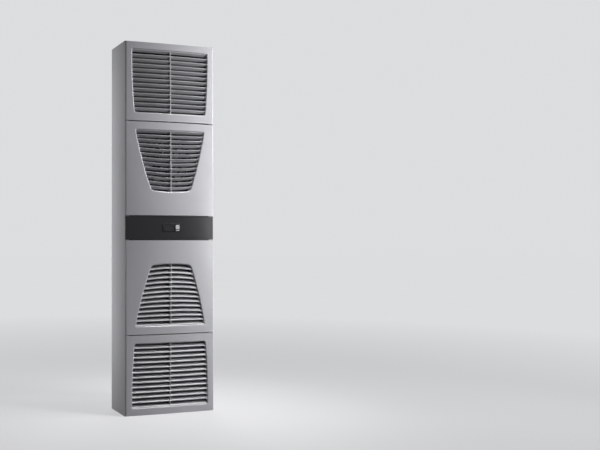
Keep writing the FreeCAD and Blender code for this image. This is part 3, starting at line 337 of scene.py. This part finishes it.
def grid_faces(count, start):
    """Quads of a square grid of points whose first index is given, facing -Y."""
    faces = []
    for i in range(count - 1):
        for j in range(count - 1):
            a = start + i * count + j
            faces.append((a, a + 1, a + count + 1, a + count))
    return faces


SCREW_GRID = 33
SCREW_DOME = 0.35
SCREW_ARM = 0.62
SCREW_SLOT = 0.15
SCREW_RECESS = 1.1 * MM
SHARP_SCREW = math.radians(40)


def screw_heads():
    """Domed heads with a cross recess in place of the plain screws."""
    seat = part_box("left_side")[0][1]
    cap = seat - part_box("rail_screws")[0][1]
    heads = {}
    for vertex in nodes["rail_screws"].data.vertices:
        spot = (vertex.co.x > 0, round(vertex.co.z, 1))
        heads.setdefault(spot, []).append(vertex.co)
    points = []
    faces = []
    for found in heads.values():
        left, right = min(p.x for p in found), max(p.x for p in found)
        low, high = min(p.z for p in found), max(p.z for p in found)
        x, z = (left + right) / 2, (low + high) / 2
        radius = (right - left) / 2
        faces += grid_faces(SCREW_GRID, len(points))
        for v in grid_values(SCREW_GRID):
            for u in grid_values(SCREW_GRID):
                across = u * math.sqrt(1 - v * v / 2)
                up = v * math.sqrt(1 - u * u / 2)
                inside = max(0.0, 1 - across * across - up * up)
                y = seat - cap * inside ** SCREW_DOME
                narrow, wide = sorted((abs(across), abs(up)))
                if narrow < SCREW_SLOT and wide < SCREW_ARM:
                    y += SCREW_RECESS
                points.append((x + radius * across, y, z + radius * up))
    piece = piece_from("screw_heads", points, faces, "zinc", "cabinet", "rail_screws")
    piece.data.set_sharp_from_angle(angle=SHARP_SCREW)


FIN_PITCH = 2.0 * MM
FIN_FOLDS = 10
FIN_SWAY = 0.3 * MM
FIN_WALL = 0.15 * MM


def fin_pack(name, node):
    """Close-set corrugated fins in place of a coil's widely spaced ones."""
    low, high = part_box(node)
    span = high[0] - low[0] - 2 * FIN_SWAY
    count = round(span / FIN_PITCH)
    points = []
    faces = []
    for i in range(count + 1):
        x = low[0] + FIN_SWAY + i * span / count
        for k in range(FIN_FOLDS + 1):
            y = low[1] + k * (high[1] - low[1]) / FIN_FOLDS
            sway = FIN_SWAY if k % 2 else -FIN_SWAY
            a = len(points)
            points += [(x + sway, y, low[2]), (x + sway, y, high[2])]
            if k:
                faces.append((a - 2, a, a + 1, a - 1))
    piece = piece_from(name, points, faces, "fin", "cabinet", node)
    wall = piece.modifiers.new("wall", "SOLIDIFY")
    wall.thickness = FIN_WALL
    wall.offset = 0.0


# Shape of a key, in shares of its half width and half height
KEY_GRID = 41
KEY_ROUND = 0.7 * MM
KEY_ROUND_POWER = 10
KEY_CORNER = 0.06
KEY_CORNER_POWER = 8
DISH_RADIUS = 0.72
DISH_RIM_RADIUS = 0.78
DISH_RIM_WIDTH = 0.05
DISH_RIM_SHARE = 0.4
DISH_RIM_END = 0.95
GROOVE_WIDTH = 0.22
GROOVE_END = 0.8
SHARP_KEY = math.radians(50)


def key_face(u, v, dish, groove):
    """How far a key's face lies behind its foremost point."""
    radius = math.hypot(u, v)
    back = KEY_ROUND * max(abs(u), abs(v)) ** KEY_ROUND_POWER
    back += dish * max(0.0, 1 - (radius / DISH_RADIUS) ** 2)
    if radius < DISH_RIM_END:
        rim = math.exp(-((radius - DISH_RIM_RADIUS) / DISH_RIM_WIDTH) ** 2)
        back -= DISH_RIM_SHARE * dish * rim
    if abs(u) < GROOVE_END:
        back += groove * math.exp(-(v / GROOVE_WIDTH) ** 2)
    return max(back, 0.0)


def grid_rim(count):
    """Indices round the edge of a square grid of points, each once, in order."""
    last = count * count - 1
    rim = list(range(count))
    rim += [count * (i + 1) - 1 for i in range(1, count)]
    rim += [last - i for i in range(1, count)]
    rim += [count * (count - 1 - i) for i in range(1, count - 1)]
    return rim


def key_cap(name, node, dish, groove):
    """A key with soft edges, pressed in at its middle by a round dish or a straight groove."""
    low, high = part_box(node)
    x, z = (low[0] + high[0]) / 2, (low[2] + high[2]) / 2
    half_x, half_z = (high[0] - low[0]) / 2, (high[2] - low[2]) / 2
    points = []
    for v in grid_values(KEY_GRID):
        for u in grid_values(KEY_GRID):
            corner = 1 - KEY_CORNER * (u * v) ** KEY_CORNER_POWER
            y = low[1] + key_face(u, v, dish, groove)
            points.append((x + half_x * u * corner, y, z + half_z * v * corner))
    faces = grid_faces(KEY_GRID, 0)
    rim = grid_rim(KEY_GRID)
    start = len(points)
    points += [(points[i][0], high[1], points[i][2]) for i in rim]
    for i in range(len(rim)):
        j = (i + 1) % len(rim)
        faces.append((rim[j], rim[i], start + i, start + j))
    piece = piece_from(name, points, faces, "key_grey", node, node)
    piece.data.set_sharp_from_angle(angle=SHARP_KEY)


screw_heads()
fin_pack("condenser_fin_pack", "condenser_fins")
fin_pack("evaporator_fin_pack", "evaporator_fins")
key_cap("large_key_cap", "large_key", dish=0.6 * MM, groove=0.0)
key_cap("bar_key_cap", "bar_key", dish=0.0, groove=0.3 * MM)


# Stage

BACKDROP_TONE = (0.97, 0.98, 1.0)
BACKDROP_LEVEL = 0.74
AMBIENT_LEVEL = 0.04
FLOOR_SIZE = 60.0
FLOOR_DARK = (0.19, 0.19, 0.193)
FLOOR_PALE = (0.21, 0.21, 0.213)
FLOOR_LIFT = 0.55
FLOOR_FAR_LIFT = 0.728
FLOOR_FADE = (1.0, 4.5)


def floor_material():
    """Pale matt floor that keeps the shadow and runs out into the backdrop."""
    t = Tree("floor")
    cloud = t.remap(t.noise(scale=0.8), 0.3, 0.7, 0.0, 1.0)
    roughness = t.remap(t.noise(scale=30.0, detail=4.0), 0.3, 0.7, 0.6, 0.75)
    distance = t.add("VectorMath", operation="LENGTH")
    t.link(t.place(), distance.inputs[0])
    lift = t.remap(distance.outputs["Value"], *FLOOR_FADE, FLOOR_LIFT, FLOOR_FAR_LIFT)
    t.link(t.times(t.seen_directly(), lift), t.shader.inputs["Emission Strength"])
    t.shader.inputs["Emission Color"].default_value = (*BACKDROP_TONE, 1.0)
    t.shader.inputs["Specular IOR Level"].default_value = 0.0
    normal = t.bump(t.noise(scale=300.0), 0.2 * MM, 0.2)
    return t.finish(t.mix(cloud, FLOOR_DARK, FLOOR_PALE), roughness, normal)


def lay_floor():
    bpy.ops.mesh.primitive_plane_add(size=FLOOR_SIZE)
    piece = bpy.context.object
    piece.name = "floor"
    piece.data.materials.append(floor_material())


def world_light():
    """Even surroundings: a pale backdrop to look at and a lower level of light on the object."""
    world = bpy.data.worlds.new("studio")
    bpy.context.scene.world = world
    world.use_nodes = True
    tree = world.node_tree
    background = tree.nodes["Background"]
    background.inputs["Color"].default_value = (*BACKDROP_TONE, 1.0)
    level = tree.nodes.new("ShaderNodeMapRange")
    level.inputs["To Min"].default_value = AMBIENT_LEVEL
    level.inputs["To Max"].default_value = BACKDROP_LEVEL
    tree.links.new(seen_directly(tree.nodes, tree.links), level.inputs["Value"])
    tree.links.new(level.outputs["Result"], background.inputs["Strength"])


def lamp(name, place, target, size, power, spread):
    """A soft rectangular lamp aimed at a point, its beam narrowed to a spread in degrees."""
    data = bpy.data.lights.new(name, "AREA")
    data.shape = "RECTANGLE"
    data.size, data.size_y = size
    data.energy = power
    data.spread = math.radians(spread)
    piece = bpy.data.objects.new(name, data)
    piece.location = place
    piece.rotation_euler = (Vector(target) - Vector(place)).to_track_quat("-Z", "Y").to_euler()
    piece.visible_camera = False
    bpy.context.scene.collection.objects.link(piece)


lay_floor()
world_light()
lamp("key", (2.4, -0.85, 1.5), (0.0, 0.0, 0.9), (0.5, 1.6), power=11.5, spread=90.0)
lamp("strip", (2.3, -1.8, 1.25), (0.42, -0.1, 1.15), (0.15, 2.2), power=2.3, spread=24.0)
lamp("side", (-1.7, 0.4, 0.85), (-0.2, 0.33, 0.85), (0.2, 1.5), power=3.0, spread=36.0)
lamp("rear", (0.7, 1.9, 3.2), (0.0, 0.1, 0.9), (1.2, 1.2), power=6.0, spread=60.0)
lamp("top", (0.95, -0.95, 2.9), (0.16, -0.1, 0.3), (0.6, 0.6), power=4.2, spread=38.0)
lamp("crown", (1.6, -1.5, 2.3), (0.25, -0.1, 1.5), (0.3, 0.3), power=0.8, spread=30.0)


# Camera at the photo's viewing angle

IMAGE_WIDTH = 600
IMAGE_HEIGHT = 450
FOCAL_PIXELS = 822.0
OPTICAL_CENTRE = (130.0, 225.0)
CAMERA_PLACE = (-1.321, -3.345, 0.739)
CAMERA_YAW = 19.26
CAMERA_PITCH = 1.04
SENSOR = 36.0

camera_data = bpy.data.cameras.new("camera")
camera_data.sensor_width = SENSOR
camera_data.lens = FOCAL_PIXELS * SENSOR / IMAGE_WIDTH
camera_data.shift_x = (IMAGE_WIDTH / 2 - OPTICAL_CENTRE[0]) / IMAGE_WIDTH
camera_data.shift_y = (OPTICAL_CENTRE[1] - IMAGE_HEIGHT / 2) / IMAGE_WIDTH
camera = bpy.data.objects.new("camera", camera_data)
camera.location = CAMERA_PLACE
camera.rotation_euler = (math.radians(90 + CAMERA_PITCH), 0.0, math.radians(-CAMERA_YAW))
bpy.context.scene.collection.objects.link(camera)
bpy.context.scene.camera = camera

bpy.context.scene.view_settings.view_transform = "Standard"
